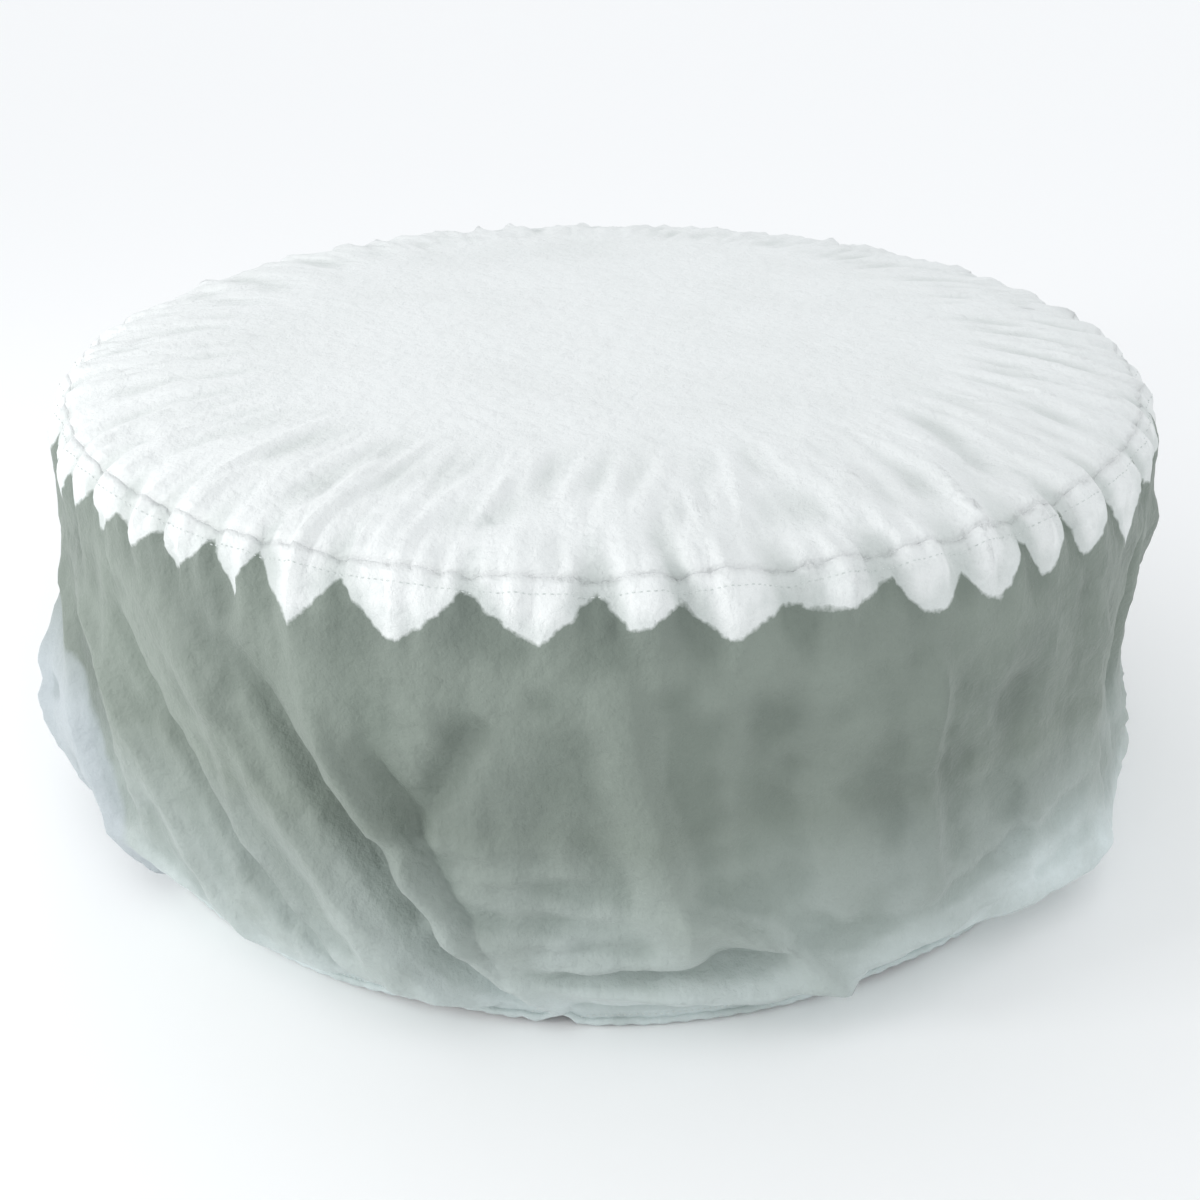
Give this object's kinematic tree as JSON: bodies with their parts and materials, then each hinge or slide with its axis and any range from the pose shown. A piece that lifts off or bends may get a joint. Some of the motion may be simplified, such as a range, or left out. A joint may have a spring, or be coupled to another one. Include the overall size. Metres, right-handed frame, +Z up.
{
  "type": "inflatable hot tub",
  "caption": "Round inflatable hot tub in its fitted fabric cover, with an inflated lid, a built-in pump, heater and blower, a filter and a control panel.",
  "frame": {"origin": "on the floor under the centre of the tub", "axes": "+Z up, -Y towards the front, +Y towards the equipment bay"},
  "size_m": [1.9249, 1.925, 0.7313],
  "materials": {
    "cover_white": "white woven polyester cover cloth with a fine crinkle, satin",
    "cover_grey": "grey-green coated polyester skirt cloth, soft sheen",
    "cover_hem": "paler bluish hem cloth, gathered",
    "elastic": "woven elastic",
    "leatherette": "embossed dark leatherette laminate",
    "pad_vinyl": "thin vinyl of the inflated pad",
    "lining": "silvery reinforced lining",
    "webbing": "woven webbing",
    "buckle_plastic": "moulded buckle",
    "zip_metal": "zip slider",
    "valve_plastic": "soft moulded valve",
    "welt": "welded vinyl strip",
    "liner": "pale grey vinyl liner",
    "liner_ring": "vinyl bubble ring",
    "liner_dark": "vinyl underside",
    "ground_mat": "padded ground mat",
    "housing_plastic": "moulded tray and casings",
    "door_plastic": "textured door",
    "gasket": "foam rubber seal",
    "steel": "stainless steel",
    "gland_plastic": "cable gland",
    "bezel_plastic": "glossy control panel",
    "display_glass": "smoked display lens",
    "circuit_board": "circuit board",
    "fitting_plastic": "pale moulded fittings",
    "cap_plastic": "screw caps",
    "filter_paper": "pleated filter",
    "rotor_plastic": "moulded rotor",
    "motor_metal": "painted motor",
    "bracket_metal": "painted brackets",
    "hose_rubber": "ribbed hose",
    "button_rubber": "soft touch buttons"
  },
  "bodies": {
    "tub": {"air_hose": "hose_rubber", "air_valve_body": "fitting_plastic", "base_panel": "liner_dark", "bay_door": "door_plastic", "bay_housing": "housing_plastic", "blower_housing": "housing_plastic", "bubble_ring": "liner_ring", "buckle_sockets": "buckle_plastic", "carry_handles": "webbing", "control_bezel": "bezel_plastic", "control_board": "circuit_board", "display_lens": "display_glass", "door_gasket": "gasket", "door_screws": "steel", "drain_fitting": "fitting_plastic", "equipment_brackets": "bracket_metal", "filter_cartridge": "filter_paper", "filter_housing": "fitting_plastic", "ground_mat": "ground_mat", "heater_hose": "hose_rubber", "heater_tube": "steel", "hose_clamps": "steel", "inner_wall": "liner", "outer_wall": "leatherette", "outlet_nozzle": "fitting_plastic", "power_gland": "gland_plastic", "pump_housing": "housing_plastic", "pump_motor": "motor_metal", "return_hose": "hose_rubber", "rim_panel": "leatherette", "seam_welts": "welt", "suction_hose": "hose_rubber", "tub_floor": "liner", "wall_patches": "welt", "wall_webs": "liner"},
    "pump_rotor": {"pump_shaft": "steel", "pump_impeller": "rotor_plastic"},
    "blower_fan": {"blower_fan": "rotor_plastic"},
    "filter_cap": {"filter_cap": "fitting_plastic"},
    "drain_cap": {"drain_cap": "cap_plastic"},
    "air_valve_cap": {"air_valve_cap": "cap_plastic"},
    "power_button": {"power_button": "button_rubber"},
    "heat_button": {"heat_button": "button_rubber"},
    "filter_button": {"filter_button": "button_rubber"},
    "bubbles_button": {"bubbles_button": "button_rubber"},
    "warmer_button": {"warmer_button": "button_rubber"},
    "cooler_button": {"cooler_button": "button_rubber"},
    "lid": {"lid_sheet": "leatherette", "lid_bladder": "pad_vinyl", "lid_lining": "lining", "bladder_valve": "valve_plastic", "lid_straps": "webbing", "strap_plugs": "buckle_plastic", "lid_zip": "webbing"},
    "zip_slider": {"zip_slider": "zip_metal"},
    "cover": {"cover_top": "cover_white", "cover_skirt": "cover_grey", "gather_tape": "elastic", "hem_casing": "cover_hem", "hem_elastic": "elastic"}
  },
  "joints": [
    {"name": "lid_lift", "type": "slide", "parent": "tub", "child": "lid", "axis": [0, 0, 1], "range_m": [0, 0.35]},
    {"name": "cover_lift", "type": "slide", "parent": "lid", "child": "cover", "axis": [0, 0, 1], "range_m": [0, 0.8]},
    {"name": "zip_run", "type": "hinge", "parent": "lid", "child": "zip_slider", "pos_m": [0, 0, 0.598], "axis": [0, 0, 1], "range_deg": [0, 135]},
    {"name": "filter_cap_twist", "type": "hinge", "parent": "tub", "child": "filter_cap", "pos_m": [-0.10593, 0.60073, 0.17], "axis": [-0.1736, 0.9848, 0], "range_deg": [0, 90]},
    {"name": "drain_cap_twist", "type": "hinge", "parent": "tub", "child": "drain_cap", "pos_m": [-0.63286, -0.63286, 0.062], "axis": [-0.7071, -0.7071, 0], "range_deg": [0, 90]},
    {"name": "air_valve_twist", "type": "hinge", "parent": "tub", "child": "air_valve_cap", "pos_m": [0.59887, -0.66512, 0.5], "axis": [0.6691, -0.7431, 0], "range_deg": [0, 90]},
    {"name": "pump_spin", "type": "hinge", "parent": "tub", "child": "pump_rotor", "pos_m": [-0.13892, 0.78785, 0.17], "axis": [-0.1736, 0.9848, 0], "continuous": true},
    {"name": "blower_spin", "type": "hinge", "parent": "tub", "child": "blower_fan", "pos_m": [0.02, 0.79, 0.135], "axis": [0, 1, 0], "continuous": true},
    {"name": "power_press", "type": "slide", "parent": "tub", "child": "power_button", "axis": [0, -1, 0], "range_m": [0, 0.0015], "stiffness_N_per_m": 600},
    {"name": "heat_press", "type": "slide", "parent": "tub", "child": "heat_button", "axis": [0, -1, 0], "range_m": [0, 0.0015], "stiffness_N_per_m": 600},
    {"name": "filter_press", "type": "slide", "parent": "tub", "child": "filter_button", "axis": [0, -1, 0], "range_m": [0, 0.0015], "stiffness_N_per_m": 600},
    {"name": "bubbles_press", "type": "slide", "parent": "tub", "child": "bubbles_button", "axis": [0, -1, 0], "range_m": [0, 0.0015], "stiffness_N_per_m": 600},
    {"name": "warmer_press", "type": "slide", "parent": "tub", "child": "warmer_button", "axis": [0, -1, 0], "range_m": [0, 0.0015], "stiffness_N_per_m": 600},
    {"name": "cooler_press", "type": "slide", "parent": "tub", "child": "cooler_button", "axis": [0, -1, 0], "range_m": [0, 0.0015], "stiffness_N_per_m": 600}
  ]
}
